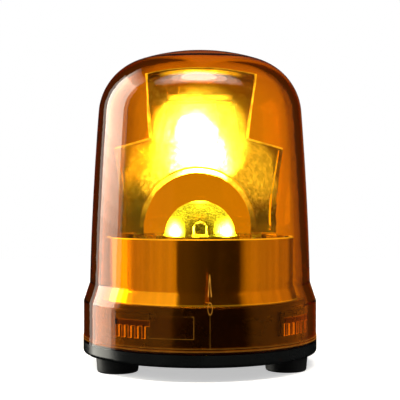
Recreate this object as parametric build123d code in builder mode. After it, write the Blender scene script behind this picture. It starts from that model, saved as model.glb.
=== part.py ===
from build123d import *
from math import acos, asin, atan2, cos, degrees, pi, radians, sin, sqrt, tan
import os

# Rotating warning beacon. An amber globe twists onto a black base, and inside it
# a geared motor turns a mirror reflector around a fixed light source.
# Millimetres, +Z up, origin on the axis in the plane that the feet stand on.
# The reflector faces -Y at rest.

os.makedirs("parts", exist_ok=True)

# Feet and fixing
foot_height = 5.7
foot_margin = 1.1
foot_draft = 0.55
foot_count = 3
first_foot_angle = 90.0
foot_hole_radius = 2.75
foot_plug_radius = 4.2
foot_plug_height = 1.2
foot_edge_fillet = 0.8
insert_radius = 3.2
insert_bore_radius = 2.1
insert_length = 7.0

# Base housing
base_height = 5.0
base_floor = 2.5
base_edge_fillet = 1.5
insert_boss_radius = 5.0
boss_roof = 1.0
groove_rim = 2.4
groove_depth = 2.8
grommet_y = -9.0
grommet_neck_radius = 5.0
grommet_flange_radius = 7.0
grommet_flange = 1.5
cable_radius = 3.2

# Chassis that carries the drum, the motor and the pillar
chassis_step = 5.0
chassis_wall = 2.4
chassis_height = 17.7
deck_thickness = 2.0
register_wall = 2.0
register_height = 4.5
fit_gap = 0.2
post_inset = 7.4
post_radius = 3.5
first_post_angle = 30.0
post_pad = 2.0
lead_hole_radius = 4.0
deck_edge_fillet = 0.8
drum_boss_height = 2.8

# Globe
globe_wall = 3.4
lip_step = 0.2
skirt_height = 16.8
flare_step = 2.6
flare_height = 7.8
waist_step = 1.2
globe_waist_height = 32.0
shoulder_step = 4.9
crown_radius = 84.0
shoulder_fillet = 25.0
globe_height = 123.3
lip_height = 2.4
lip_groove = 0.3
lip_groove_height = 1.2
seal_width = 1.3
seal_gap = 0.1
seal_height = 1.3

# Bayonet between globe and chassis
lug_count = 4
first_lug_angle = -127.5
lug_sweep = 20.0
lug_bar = 2.4
lug_height = 7.2
lug_play = 0.4
lug_top = 23.3
lug_teeth = 5
lug_tooth_share = 0.45
ledge_height = 2.0
ledge_gap = 0.3
stop_sweep = 2.0
stop_gap = 0.5

# Raised marks on the globe's skirt
mark_raise = 0.3
panel_width = 17.5
panel_height = 8.6
panel_x = -13.4
panel_z = 21.2
panel_corner_radius = 0.6
index_x = 1.6
index_width = 0.8
index_line = 0.6
index_bottom = 13.4
index_top = 26.0
index_loop_radius = 1.5
index_loop_height = 5.2
index_tip_base = 33.0
index_tip_top = 41.5
index_tip_width = 2.0

# Metallised drum around the drive
drum_gap = 1.525
drum_wall = 1.2
drum_top = 54.8
drum_flare = 1.6
drum_flare_height = 5.6
drum_rim_fillet = 0.5
ear_inset = 3.0
ear_radius = 2.8
ear_thickness = 1.2
ear_edge = 1.0
screw_tip_gap = 0.5
first_ear_angle = 10.0

# Drive train
wheel_module = 0.8
wheel_teeth = 60
idler_small_teeth = 12
motor_module = 0.5
idler_large_teeth = 32
motor_teeth = 10
pressure_angle = 25.0
addendum_share = 0.95
dedendum_share = 1.3
flank_share = 0.1
tooth_foot_share = 0.2
wheel_backlash = 0.10
idler_angle = 90.0
motor_offset = 25.5
wheel_bottom = 34.5
wheel_face = 4.0
idler_boss_gap = 0.3
idler_boss_radius = 3.0
idler_boss_height = 1.5
idler_large_face = 3.0
idler_small_overrun = 1.0
axle_radius = 1.25
running_gap = 0.05
clip_radius = 2.6
clip_thickness = 0.7

# Motor
motor_radius = 12.2
motor_length = 12.4
motor_cap_length = 2.0
motor_boss_radius = 3.1
motor_boss_height = 1.6
motor_edge_fillet = 0.8
motor_cap_step = 0.8
shaft_radius = 1.0
shaft_embed = 3.0
shaft_end_gap = 0.4
pinion_gap = 0.9
pinion_face = 4.0
motor_screw_inset = 3.7
motor_screw_depth = 2.0
terminal_inset = 4.2
terminal_width = 2.0
terminal_thickness = 0.6

# Central pillar and its bearings
pillar_radius = 9.0
pillar_bore_radius = 6.0
pillar_top = 52.0
pillar_flange_radius = 14.5
pillar_flange = 2.0
pillar_screw_circle = 11.8
washer_radius = 12.6
washer_thickness = 1.4
thrust_gap = 0.1
bush_wall = 1.55
bush_length = 6.0
clip_groove_depth = 0.4
ring_radius = 11.6
ring_thickness = 0.8
ring_gap = 0.3
ring_start = -60.0
ring_sweep = 300.0

# Turntable
hub_radius = 14.0
hub_top = 50.0
web_thickness = 2.0
gear_ring_wall = 3.0
wheel_overlap = 0.2
rib_overlap = 1.0
table_gap = 1.6
table_thickness = 2.5
table_top = 51.0
table_recess_radius = 12.6
table_rib_count = 6
table_rib_thickness = 1.6
table_rib_height = 6.0
table_rib_inset = 7.2
table_rib_taper = 2.0

# Reflector, a mirror with its focus at the light source
focus_length = 30.0
focus_height = 57.7
mirror_depth = 2.0
mirror_rim_width = 1.3
mirror_rim_rise = 0.8
mirror_reach = 76.0
arch_radius = 24.8
arch_rim_width = 1.9
neck_half_width = 22.4
neck_top_half_width = 23.4
neck_height = 26.3
neck_rise = 3.5
neck_gap = 3.3
wing_step = 5.0
wing_gap = 0.6
wing_shoulder_drop = 5.4
reflector_clearance = 2.6
recess_depth = 0.5
recess_drop = 11.1
recess_corner_radius = 2.5
recess_top_half_width = 14.2
recess_waist_half_width = 18.0
recess_bell_half_width = 19.8
recess_bell_drop = 13.0
recess_foot_half_width = 24.6
recess_foot_rise = 12.3
rear_rib_thickness = 1.6
rear_rib_height = 3.0
rear_rib_spacing = 15.0
rear_rib_drop = 4.8
flange_inner_radius = 19.0
flange_step = 0.6
flange_thickness = 2.0
flange_front = 4.0
plinth_margin = 0.83
plinth_gap = 1.4
plinth_overlap = 0.5
reflector_screw_inset = 9.6
reflector_screw_angles = (22.0, 50.0, 130.0, 158.0)

# Light source
sink_radius = 16.0
sink_height = 2.6
sink_recess = 1.6
sink_stem_length = 6.0
sink_stem_bore = 3.0
led_board_radius = 12.5
led_board_thickness = 1.2
emitter_radius = 3.5
emitter_height = 1.2
emitter_lens_radius = 3.0
emitter_lens_height = 5.6
dome_radius = 15.2
dome_wall = 1.8
dome_foot_radius = 15.9
dome_foot_height = 0.8
lead_radius = 0.6
lead_offset = 1.5

# Circuit board
board_edge_gap = 0.5
board_thickness = 1.6
board_standoff = 2.4
standoff_radius = 2.5
board_screw_inset = 5.0
board_screw_angles = (0.0, 130.0, 240.0)
board_window_radius = 5.0

# Parts on the circuit board
block_y = -20.0
block_width = 15.0
block_depth = 8.0
block_height = 8.5
block_pitch = 5.0
block_ways = 3
wire_mouth = 3.0
wire_mouth_height = 2.6
wire_mouth_depth = 4.0
block_screw_radius = 1.7
block_screw_depth = 2.0
capacitor_x = -18.0
capacitor_y = -5.0
capacitor_radius = 5.0
capacitor_height = 11.0
capacitor_fillet = 0.6
choke_x = 17.0
choke_y = -11.0
choke_radius = 4.5
choke_flange = 1.2
choke_winding_radius = 3.6
choke_winding_height = 4.0
regulator_x = -12.0
regulator_y = 7.0
regulator_width = 10.0
regulator_depth = 4.6
regulator_height = 9.0
regulator_tab = 1.4
regulator_tab_height = 13.0

# Small screws
screw_radius = 1.25
screw_clearance = 0.05
head_radius = 2.2
head_height = 1.3
small_screw_radius = 0.9
small_head_radius = 1.6
small_head_height = 1.0
base_screw_length = 12.0

# Plan sizes worked out from the drive and the mirror outwards, each with its clearance
wheel_radius = wheel_module * wheel_teeth / 2
idler_distance = wheel_radius + wheel_module * idler_small_teeth / 2
idler_large_radius = motor_module * (idler_large_teeth / 2 + addendum_share)
mirror_foot_y = focus_length - arch_radius**2 / (4 * focus_length) + mirror_depth
plinth_radius = sqrt(arch_radius**2 + mirror_foot_y**2) + plinth_margin
drum_inner_radius = max(idler_distance + idler_large_radius + drum_gap, plinth_radius + plinth_gap)
drum_radius = drum_inner_radius + drum_wall
drum_foot_radius = drum_radius + drum_flare
ear_circle_radius = drum_radius - ear_inset
table_radius = drum_inner_radius - table_gap
table_rib_reach = table_radius - table_rib_inset
flange_outer_radius = table_radius - flange_step
reflector_screw_circle = flange_outer_radius - reflector_screw_inset
chassis_radius = drum_radius + chassis_step
globe_inner_radius = chassis_radius + seal_width + seal_gap
skirt_radius = globe_inner_radius + globe_wall
neck_radius = skirt_radius - flare_step
globe_waist_radius = neck_radius - waist_step
shoulder_radius = neck_radius - shoulder_step
wing_half_width = globe_waist_radius - wing_step
lip_radius = skirt_radius + lip_step
base_radius = lip_radius
base_pocket_radius = chassis_radius - chassis_wall - fit_gap - register_wall
foot_circle_radius = chassis_radius - insert_boss_radius
foot_top_radius = base_radius - foot_circle_radius - foot_margin
foot_bottom_radius = foot_top_radius - foot_draft
groove_inner_radius = foot_circle_radius + insert_radius
groove_outer_radius = base_radius - groove_rim
post_circle_radius = base_pocket_radius - post_inset
board_radius = post_circle_radius - post_radius - board_edge_gap
board_screw_circle = board_radius - board_screw_inset
motor_cap_radius = motor_radius - motor_cap_step
motor_screw_offset = motor_radius - motor_screw_inset
terminal_offset = motor_radius - terminal_inset

# Heights worked out from the stack
floor_z = foot_height
floor_top = floor_z + base_floor
base_top = floor_z + base_height
deck_top = base_top + chassis_height
deck_bottom = deck_top - deck_thickness
skirt_top = base_top + skirt_height
flare_top = skirt_top + flare_height
globe_top = base_top + globe_height
neck_crown = globe_top - globe_wall - neck_gap
neck_top = neck_crown - neck_rise
neck_bottom = neck_top - neck_height
recess_top = neck_top - recess_drop
rear_rib_top = neck_top - rear_rib_drop
insert_bottom = floor_z + foot_plug_height
insert_top = insert_bottom + insert_length
board_bottom = floor_top + board_standoff
board_top = board_bottom + board_thickness
motor_bottom = deck_bottom - motor_length
pinion_bottom = deck_top + pinion_gap
pinion_top = pinion_bottom + pinion_face
shaft_top = pinion_top + shaft_end_gap
idler_bottom = deck_top + idler_boss_gap
idler_large_bottom = idler_bottom + idler_boss_height
idler_large_top = idler_large_bottom + idler_large_face
idler_top = wheel_bottom + wheel_face + idler_small_overrun
clip_bottom = idler_top + ring_gap
axle_top = clip_bottom + clip_thickness
flange_top = deck_top + pillar_flange
washer_top = flange_top + washer_thickness
hub_bottom = washer_top + thrust_gap
table_bottom = table_top - table_thickness
ring_bottom = hub_top + ring_gap
sink_top = pillar_top + sink_height
sink_floor = sink_top - sink_recess
led_board_top = sink_floor + led_board_thickness
emitter_top = led_board_top + emitter_height
wing_bottom = drum_top + wing_gap
mirror_flange_top = table_top + flange_thickness

# Places worked out from the gears
motor_mesh_distance = motor_module * (idler_large_teeth + motor_teeth) / 2
motor_swing = degrees(acos(
    (idler_distance**2 + motor_offset**2 - motor_mesh_distance**2)
    / (2 * idler_distance * motor_offset)))
motor_angle = idler_angle - motor_swing
idler_x = idler_distance * cos(radians(idler_angle))
idler_y = idler_distance * sin(radians(idler_angle))
motor_x = motor_offset * cos(radians(motor_angle))
motor_y = motor_offset * sin(radians(motor_angle))
motor_line_angle = degrees(atan2(motor_y - idler_y, motor_x - idler_x))


def save(part, label):
    """Label a finished piece and write its file."""
    part.label = label
    export_step(part, "parts/" + label + ".step")


def arc_band(inner, outer, start, sweep):
    """Flat ring segment between two radii."""
    with BuildSketch(mode=Mode.PRIVATE) as band:
        with BuildLine():
            near = CenterArc((0, 0), inner, start, sweep)
            far = CenterArc((0, 0), outer, start, sweep)
            Line(near @ 0, far @ 0)
            Line(near @ 1, far @ 1)
        make_face()
    return band.sketch


def involute_point(base, radius, half_angle):
    """Point of a tooth's left flank at a radius, for a tooth centred on +X."""
    roll = acos(min(1.0, base / radius))
    angle = half_angle - (tan(roll) - roll)
    return (radius * cos(angle), radius * sin(angle))


def gear_face(teeth, module, thinning, turn):
    """Flat spur gear with curved flanks, one tooth centred on the angle turn."""
    pitch = module * teeth / 2
    base = pitch * cos(radians(pressure_angle))
    tip = pitch + addendum_share * module
    root = pitch - dedendum_share * module
    flank_start = max(base, root + flank_share * module)
    foot_radius = root - tooth_foot_share * module
    half_angle = pi / (2 * teeth) - thinning / (2 * pitch)
    half_angle += tan(radians(pressure_angle)) - radians(pressure_angle)
    low = involute_point(base, flank_start, half_angle)
    middle = involute_point(base, (flank_start + tip) / 2, half_angle)
    high = involute_point(base, tip, half_angle)
    foot_angle = atan2(low[1], low[0])
    foot = (foot_radius * cos(foot_angle), foot_radius * sin(foot_angle))
    with BuildSketch(mode=Mode.PRIVATE) as tooth:
        with BuildLine():
            Line(foot, low)
            ThreePointArc(low, middle, high)
            Line(high, (high[0], -high[1]))
            ThreePointArc((high[0], -high[1]), (middle[0], -middle[1]), (low[0], -low[1]))
            Line((low[0], -low[1]), (foot[0], -foot[1]))
            Line((foot[0], -foot[1]), foot)
        make_face()
    with BuildSketch(mode=Mode.PRIVATE) as gear:
        Circle(root)
        with PolarLocations(0, teeth, start_angle=turn):
            add(tooth.sketch)
    return gear.sketch


def globe_section(inset):
    """Half section of the globe's solid form, pulled in by inset from its outer face."""
    flare_shift = inset * tan(atan2(skirt_radius - neck_radius, flare_height) / 2)
    crown_centre = globe_top - crown_radius
    crown = crown_radius - inset
    corner_x = shoulder_radius - inset
    corner_z = crown_centre + sqrt(crown**2 - corner_x**2)
    middle_angle = asin(corner_x / crown) / 2
    waist = (globe_waist_radius - inset, flare_top + globe_waist_height)
    with BuildSketch(Plane.XZ, mode=Mode.PRIVATE) as section:
        with BuildLine():
            Line((0, base_top), (skirt_radius - inset, base_top))
            Line((skirt_radius - inset, base_top), (skirt_radius - inset, skirt_top - flare_shift))
            Line((skirt_radius - inset, skirt_top - flare_shift),
                 (neck_radius - inset, flare_top - flare_shift))
            ThreePointArc((neck_radius - inset, flare_top - flare_shift), waist, (corner_x, corner_z))
            ThreePointArc((corner_x, corner_z),
                          (crown * sin(middle_angle), crown_centre + crown * cos(middle_angle)),
                          (0, crown_centre + crown))
            Line((0, crown_centre + crown), (0, base_top))
        make_face()
        corner = section.vertices().sort_by_distance((corner_x, corner_z))[0]
        fillet(corner, shoulder_fillet - inset)
    return section.sketch


def parabola_height(reach):
    """Y of the mirror's front curve at a distance from its axis."""
    return focus_length - reach**2 / (4 * focus_length)


def mirror_bowl(shift):
    """Solid in front of the mirror's curve, with the curve moved back by shift."""
    mirror_axis = Axis((0, 0, focus_height), (0, 1, 0))
    rim_y = parabola_height(mirror_reach) + shift
    with BuildPart(mode=Mode.PRIVATE) as bowl:
        with BuildSketch(Plane.XY.offset(focus_height)):
            with BuildLine():
                Bezier((0, focus_length + shift),
                       (mirror_reach / 2, focus_length + shift),
                       (mirror_reach, rim_y))
                Polyline((mirror_reach, rim_y), (0, rim_y), (0, focus_length + shift))
            make_face()
        revolve(axis=mirror_axis)
    return bowl.part


def mirror_outline(inset):
    """Front outline of the reflector, a neck on two sloping shoulders."""
    edge = neck_top_half_width
    shoulder = neck_bottom - wing_shoulder_drop
    with BuildSketch(Plane.XZ, mode=Mode.PRIVATE) as outline:
        with BuildLine():
            Polyline((-edge, neck_top), (-neck_half_width, neck_bottom),
                     (-wing_half_width, shoulder), (-wing_half_width, wing_bottom),
                     (wing_half_width, wing_bottom), (wing_half_width, shoulder),
                     (neck_half_width, neck_bottom), (edge, neck_top))
            ThreePointArc((edge, neck_top), (0, neck_crown), (-edge, neck_top))
        make_face()
        if inset:
            offset(amount=-inset, kind=Kind.INTERSECTION)
    return outline.sketch


def arch_opening(grow):
    """Round arch over the lamp with straight legs down past the wings, widened by grow."""
    half = arch_radius + grow
    with BuildSketch(Plane.XZ, mode=Mode.PRIVATE) as opening:
        with Locations((0, focus_height)):
            Circle(half)
            Rectangle(2 * half, arch_radius, align=(Align.CENTER, Align.MAX))
    return opening.sketch


# Base housing with bosses for the fixing inserts and standoffs for the board
with BuildPart() as base_housing:
    with BuildSketch(Plane.XY.offset(floor_z)):
        Circle(base_radius)
    extrude(amount=base_height)
    lower_edge = base_housing.edges().filter_by(GeomType.CIRCLE).sort_by(Axis.Z)[0]
    fillet(lower_edge, base_edge_fillet)
    with BuildSketch(Plane.XY.offset(floor_top)):
        Circle(base_pocket_radius)
    extrude(amount=base_height, mode=Mode.SUBTRACT)
    with BuildSketch(Plane.XY.offset(floor_top)):
        Circle(base_pocket_radius + register_wall)
        Circle(base_pocket_radius, mode=Mode.SUBTRACT)
    extrude(amount=register_height)
    with BuildSketch(Plane.XY.offset(floor_top)):
        with PolarLocations(foot_circle_radius, foot_count, start_angle=first_foot_angle):
            Circle(insert_boss_radius)
    extrude(amount=insert_top + boss_roof - floor_top)
    with BuildSketch(Plane.XY.offset(floor_top)):
        with PolarLocations(post_circle_radius, foot_count, start_angle=first_post_angle):
            Circle(post_radius)
    extrude(amount=post_pad)
    with BuildSketch(Plane.XY.offset(floor_top)):
        for angle in board_screw_angles:
            with PolarLocations(board_screw_circle, 1, start_angle=angle):
                Circle(standoff_radius)
    extrude(amount=board_standoff)
    with BuildSketch(Plane.XY.offset(floor_z)):
        Circle(groove_outer_radius)
        Circle(groove_inner_radius, mode=Mode.SUBTRACT)
        with PolarLocations(foot_circle_radius, foot_count, start_angle=first_foot_angle):
            Circle(foot_top_radius + fit_gap, mode=Mode.SUBTRACT)
    extrude(amount=groove_depth, mode=Mode.SUBTRACT)
    with BuildSketch(Plane.XY.offset(floor_z)):
        with PolarLocations(foot_circle_radius, foot_count, start_angle=first_foot_angle):
            Circle(foot_plug_radius)
    extrude(amount=foot_plug_height, mode=Mode.SUBTRACT)
    with BuildSketch(Plane.XY.offset(floor_z)):
        with PolarLocations(foot_circle_radius, foot_count, start_angle=first_foot_angle):
            Circle(insert_radius)
    extrude(amount=insert_top - floor_z, mode=Mode.SUBTRACT)
    with BuildSketch(Plane.XY.offset(floor_z)):
        with Locations((0, grommet_y)):
            Circle(grommet_neck_radius)
    extrude(amount=base_height, mode=Mode.SUBTRACT)
    with BuildSketch(Plane.XY.offset(floor_z)):
        with PolarLocations(post_circle_radius, foot_count, start_angle=first_post_angle):
            Circle(head_radius + fit_gap)
    extrude(amount=head_height + fit_gap, mode=Mode.SUBTRACT)
    with BuildSketch(Plane.XY.offset(floor_z)):
        with PolarLocations(post_circle_radius, foot_count, start_angle=first_post_angle):
            Circle(screw_radius + screw_clearance)
    extrude(amount=base_floor + post_pad, mode=Mode.SUBTRACT)
    with BuildSketch(Plane.XY.offset(floor_top)):
        for angle in board_screw_angles:
            with PolarLocations(board_screw_circle, 1, start_angle=angle):
                Circle(small_screw_radius + screw_clearance)
    extrude(amount=board_standoff, mode=Mode.SUBTRACT)
save(base_housing.part, "base_housing")

# Rubber feet, each with a plug in the base and a hole for the fixing screw
for number in range(foot_count):
    foot_angle = first_foot_angle + number * 360 / foot_count
    foot_x = foot_circle_radius * cos(radians(foot_angle))
    foot_y = foot_circle_radius * sin(radians(foot_angle))
    with BuildPart() as rubber_foot:
        with BuildSketch(Plane((foot_x, foot_y, 0))):
            Circle(foot_bottom_radius)
        with BuildSketch(Plane((foot_x, foot_y, foot_height))):
            Circle(foot_top_radius)
        loft()
        with BuildSketch(Plane((foot_x, foot_y, foot_height))):
            Circle(foot_plug_radius)
        extrude(amount=foot_plug_height)
        with BuildSketch(Plane((foot_x, foot_y, 0))):
            Circle(foot_hole_radius)
        extrude(amount=foot_height + foot_plug_height, mode=Mode.SUBTRACT)
        bottom_edges = rubber_foot.edges().filter_by(GeomType.CIRCLE).group_by(Axis.Z)[0]
        fillet(bottom_edges.sort_by(SortBy.RADIUS)[-1], foot_edge_fillet)
    save(rubber_foot.part, "rubber_foot_" + str(number + 1))

# Threaded inserts for the fixing screws
with BuildPart() as threaded_inserts:
    with BuildSketch(Plane.XY.offset(insert_bottom)):
        with PolarLocations(foot_circle_radius, foot_count, start_angle=first_foot_angle):
            Circle(insert_radius)
            Circle(insert_bore_radius, mode=Mode.SUBTRACT)
    extrude(amount=insert_length)
save(threaded_inserts.part, "threaded_inserts")

# Cable grommet in the floor
with BuildPart() as cable_grommet:
    with BuildSketch(Plane.XY.offset(floor_z - grommet_flange)):
        with Locations((0, grommet_y)):
            Circle(grommet_flange_radius)
    extrude(amount=grommet_flange)
    with BuildSketch(Plane.XY.offset(floor_z)):
        with Locations((0, grommet_y)):
            Circle(grommet_neck_radius)
    extrude(amount=base_floor)
    with BuildSketch(Plane.XY.offset(floor_top)):
        with Locations((0, grommet_y)):
            Circle(grommet_flange_radius)
    extrude(amount=grommet_flange)
    with BuildSketch(Plane.XY.offset(floor_z - grommet_flange)):
        with Locations((0, grommet_y)):
            Circle(cable_radius)
    extrude(amount=base_floor + 2 * grommet_flange, mode=Mode.SUBTRACT)
save(cable_grommet.part, "cable_grommet")

# Flat seal ring in the corner between chassis wall and base
with BuildPart() as globe_seal:
    with BuildSketch(Plane.XY.offset(base_top)):
        Circle(chassis_radius + seal_width)
        Circle(chassis_radius, mode=Mode.SUBTRACT)
    extrude(amount=seal_height)
save(globe_seal.part, "globe_seal")

# Chassis, an inverted cup with screw posts below its deck and a bayonet outside
with BuildPart() as chassis:
    with BuildSketch(Plane.XY.offset(base_top)):
        Circle(chassis_radius)
    extrude(amount=chassis_height)
    top_edge = chassis.edges().filter_by(GeomType.CIRCLE).sort_by(Axis.Z)[-1]
    fillet(top_edge, deck_edge_fillet)
    with BuildSketch(Plane.XY.offset(base_top)):
        Circle(chassis_radius - chassis_wall)
    extrude(amount=chassis_height - deck_thickness, mode=Mode.SUBTRACT)
    with BuildSketch(Plane.XY.offset(floor_top + post_pad)):
        with PolarLocations(post_circle_radius, foot_count, start_angle=first_post_angle):
            Circle(post_radius)
    extrude(amount=deck_bottom - floor_top - post_pad)
    with BuildSketch(Plane.XY.offset(deck_bottom - drum_boss_height)):
        with PolarLocations(ear_circle_radius, foot_count, start_angle=first_ear_angle):
            Circle(small_head_radius + fit_gap)
    extrude(amount=drum_boss_height)
    with BuildSketch(Plane.XY.offset(lug_top + ledge_gap)):
        with PolarLocations(0, lug_count, start_angle=first_lug_angle):
            add(arc_band(chassis_radius - chassis_wall / 2, globe_inner_radius - lug_play,
                         -lug_sweep / 2, lug_sweep))
    extrude(amount=ledge_height)
    with BuildSketch(Plane.XY.offset(lug_top - lug_height)):
        with PolarLocations(0, lug_count, start_angle=first_lug_angle):
            add(arc_band(chassis_radius - chassis_wall / 2, globe_inner_radius - lug_play,
                         -lug_sweep / 2 - stop_sweep - stop_gap, stop_sweep))
    extrude(amount=lug_height + ledge_gap + ledge_height)
    with BuildSketch(Plane.XY.offset(base_top)):
        with PolarLocations(foot_circle_radius, foot_count, start_angle=first_foot_angle):
            Circle(insert_boss_radius + fit_gap)
    extrude(amount=insert_top + boss_roof + fit_gap - base_top, mode=Mode.SUBTRACT)
    with BuildSketch(Plane.XY.offset(floor_top + post_pad)):
        with PolarLocations(post_circle_radius, foot_count, start_angle=first_post_angle):
            Circle(screw_radius + screw_clearance)
    extrude(amount=base_screw_length, mode=Mode.SUBTRACT)
    with BuildSketch(Plane.XY.offset(deck_bottom - drum_boss_height)):
        with PolarLocations(ear_circle_radius, foot_count, start_angle=first_ear_angle):
            Circle(small_screw_radius + screw_clearance)
        Circle(lead_hole_radius)
        with PolarLocations(pillar_screw_circle, foot_count, start_angle=first_post_angle):
            Circle(small_screw_radius + screw_clearance)
        with Locations((motor_x, motor_y)):
            Circle(motor_boss_radius + screw_clearance)
            with PolarLocations(motor_screw_offset, 2, start_angle=motor_line_angle + 90):
                Circle(small_screw_radius + screw_clearance)
        with Locations((idler_x, idler_y)):
            Circle(axle_radius)
    extrude(amount=deck_thickness + drum_boss_height, mode=Mode.SUBTRACT)
save(chassis.part, "chassis")

# Screws that hold the chassis to the base, from below
with BuildPart() as base_screws:
    with BuildSketch(Plane.XY.offset(floor_z + fit_gap)):
        with PolarLocations(post_circle_radius, foot_count, start_angle=first_post_angle):
            Circle(head_radius)
    extrude(amount=head_height)
    with BuildSketch(Plane.XY.offset(floor_z + fit_gap + head_height)):
        with PolarLocations(post_circle_radius, foot_count, start_angle=first_post_angle):
            Circle(screw_radius)
    extrude(amount=base_screw_length)
save(base_screws.part, "base_screws")

# Marks that stand out from the skirt: a bare panel and an index arrow
with BuildPart() as raised_marks:
    revolve(globe_section(-mark_raise), axis=Axis.Z)
    revolve(globe_section(globe_wall / 2), axis=Axis.Z, mode=Mode.SUBTRACT)
    with BuildSketch(Plane.XZ):
        with Locations((panel_x, panel_z)):
            RectangleRounded(panel_width, panel_height, panel_corner_radius)
        with Locations((index_x, index_bottom)):
            Rectangle(index_width, index_top - index_bottom + index_line / 2,
                      align=(Align.CENTER, Align.MIN))
        with Locations((index_x, index_top + index_loop_height / 2)):
            Ellipse(index_loop_radius, index_loop_height / 2)
            Ellipse(index_loop_radius - index_line, index_loop_height / 2 - index_line,
                    mode=Mode.SUBTRACT)
        with BuildLine():
            Polyline((index_x - index_tip_width / 2, index_tip_base),
                     (index_x + index_tip_width / 2, index_tip_base),
                     (index_x, index_tip_top), close=True)
        make_face()
    extrude(amount=2 * base_radius, mode=Mode.INTERSECT)

# Amber globe with its lip, bayonet lugs and raised marks
with BuildPart() as amber_globe:
    revolve(globe_section(0), axis=Axis.Z)
    with BuildSketch(Plane.XY.offset(base_top)):
        Circle(lip_radius)
    extrude(amount=lip_height)
    with BuildSketch(Plane.XY.offset(base_top + lip_groove_height)):
        Circle(lip_radius + lip_groove)
        Circle(lip_radius - lip_groove, mode=Mode.SUBTRACT)
    extrude(amount=lip_groove, mode=Mode.SUBTRACT)
    add(raised_marks.part)
    revolve(globe_section(globe_wall), axis=Axis.Z, mode=Mode.SUBTRACT)
    with BuildSketch(Plane.XY.offset(lug_top - lug_bar)):
        with PolarLocations(0, lug_count, start_angle=first_lug_angle):
            add(arc_band(chassis_radius + lug_play, skirt_radius - globe_wall / 2,
                         -lug_sweep / 2, lug_sweep))
    extrude(amount=lug_bar)
    lug_pitch = lug_sweep / lug_teeth
    with BuildSketch(Plane.XY.offset(lug_top - lug_height)):
        with PolarLocations(0, lug_count, start_angle=first_lug_angle):
            for tooth_number in range(lug_teeth):
                add(arc_band(chassis_radius + lug_play, skirt_radius - globe_wall / 2,
                             -lug_sweep / 2 + tooth_number * lug_pitch,
                             lug_tooth_share * lug_pitch))
    extrude(amount=lug_height - lug_bar)
save(amber_globe.part, "amber_globe")

# Metallised drum with a flared foot and screw ears inside
with BuildPart() as drum_shroud:
    with BuildSketch(Plane.XZ):
        with BuildLine():
            foot_in = drum_foot_radius - drum_wall
            Polyline((drum_foot_radius, deck_top), (drum_radius, deck_top + drum_flare_height),
                     (drum_radius, drum_top), (drum_radius - drum_wall, drum_top),
                     (drum_radius - drum_wall, deck_top + drum_flare_height),
                     (foot_in, deck_top), close=True)
        make_face()
    revolve(axis=Axis.Z)
    rim_edges = drum_shroud.edges().filter_by(GeomType.CIRCLE).group_by(Axis.Z)[-1]
    fillet(rim_edges, drum_rim_fillet)
    with BuildSketch(Plane.XY.offset(deck_top)):
        with PolarLocations(ear_circle_radius, foot_count, start_angle=first_ear_angle):
            Circle(ear_radius)
            Rectangle(drum_foot_radius - ear_circle_radius - ear_edge, 2 * ear_radius,
                      align=(Align.MIN, Align.CENTER))
        with PolarLocations(ear_circle_radius, foot_count, start_angle=first_ear_angle):
            Circle(small_screw_radius + screw_clearance, mode=Mode.SUBTRACT)
    extrude(amount=ear_thickness)
save(drum_shroud.part, "drum_shroud")

# Screws in the drum's ears
with BuildPart() as drum_screws:
    with BuildSketch(Plane.XY.offset(deck_bottom - drum_boss_height + screw_tip_gap)):
        with PolarLocations(ear_circle_radius, foot_count, start_angle=first_ear_angle):
            Circle(small_screw_radius)
    extrude(amount=deck_thickness + drum_boss_height - screw_tip_gap + ear_thickness)
    with BuildSketch(Plane.XY.offset(deck_top + ear_thickness)):
        with PolarLocations(ear_circle_radius, foot_count, start_angle=first_ear_angle):
            Circle(small_head_radius)
    extrude(amount=small_head_height)
save(drum_screws.part, "drum_screws")

# Circuit board with a window over the cable grommet
with BuildPart() as circuit_board:
    with BuildSketch(Plane.XY.offset(board_bottom)):
        Circle(board_radius)
        with Locations((0, grommet_y)):
            Circle(board_window_radius, mode=Mode.SUBTRACT)
        for angle in board_screw_angles:
            with PolarLocations(board_screw_circle, 1, start_angle=angle):
                Circle(small_screw_radius + screw_clearance, mode=Mode.SUBTRACT)
    extrude(amount=board_thickness)
save(circuit_board.part, "circuit_board")

with BuildPart() as board_screws:
    with BuildSketch(Plane.XY.offset(floor_top)):
        for angle in board_screw_angles:
            with PolarLocations(board_screw_circle, 1, start_angle=angle):
                Circle(small_screw_radius)
    extrude(amount=board_standoff + board_thickness)
    with BuildSketch(Plane.XY.offset(board_top)):
        for angle in board_screw_angles:
            with PolarLocations(board_screw_circle, 1, start_angle=angle):
                Circle(small_head_radius)
    extrude(amount=small_head_height)
save(board_screws.part, "board_screws")

# Terminal block with its wire mouths facing the cable window
with BuildPart() as terminal_block:
    with BuildSketch(Plane.XY.offset(board_top)):
        with Locations((0, block_y)):
            Rectangle(block_width, block_depth)
    extrude(amount=block_height)
    with BuildSketch(Plane.XZ.offset(-block_y - block_depth / 2)):
        with Locations((0, board_top + wire_mouth_height)):
            with GridLocations(block_pitch, 1.0, block_ways, 1):
                Rectangle(wire_mouth, wire_mouth)
    extrude(amount=wire_mouth_depth, mode=Mode.SUBTRACT)
    with BuildSketch(Plane.XY.offset(board_top + block_height)):
        with Locations((0, block_y)):
            with GridLocations(block_pitch, 1.0, block_ways, 1):
                Circle(block_screw_radius)
    extrude(amount=-block_screw_depth, mode=Mode.SUBTRACT)
save(terminal_block.part, "terminal_block")

with BuildPart() as smoothing_capacitor:
    with BuildSketch(Plane.XY.offset(board_top)):
        with Locations((capacitor_x, capacitor_y)):
            Circle(capacitor_radius)
    extrude(amount=capacitor_height)
    capacitor_edge = smoothing_capacitor.edges().filter_by(GeomType.CIRCLE).sort_by(Axis.Z)[-1]
    fillet(capacitor_edge, capacitor_fillet)
save(smoothing_capacitor.part, "smoothing_capacitor")

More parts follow.
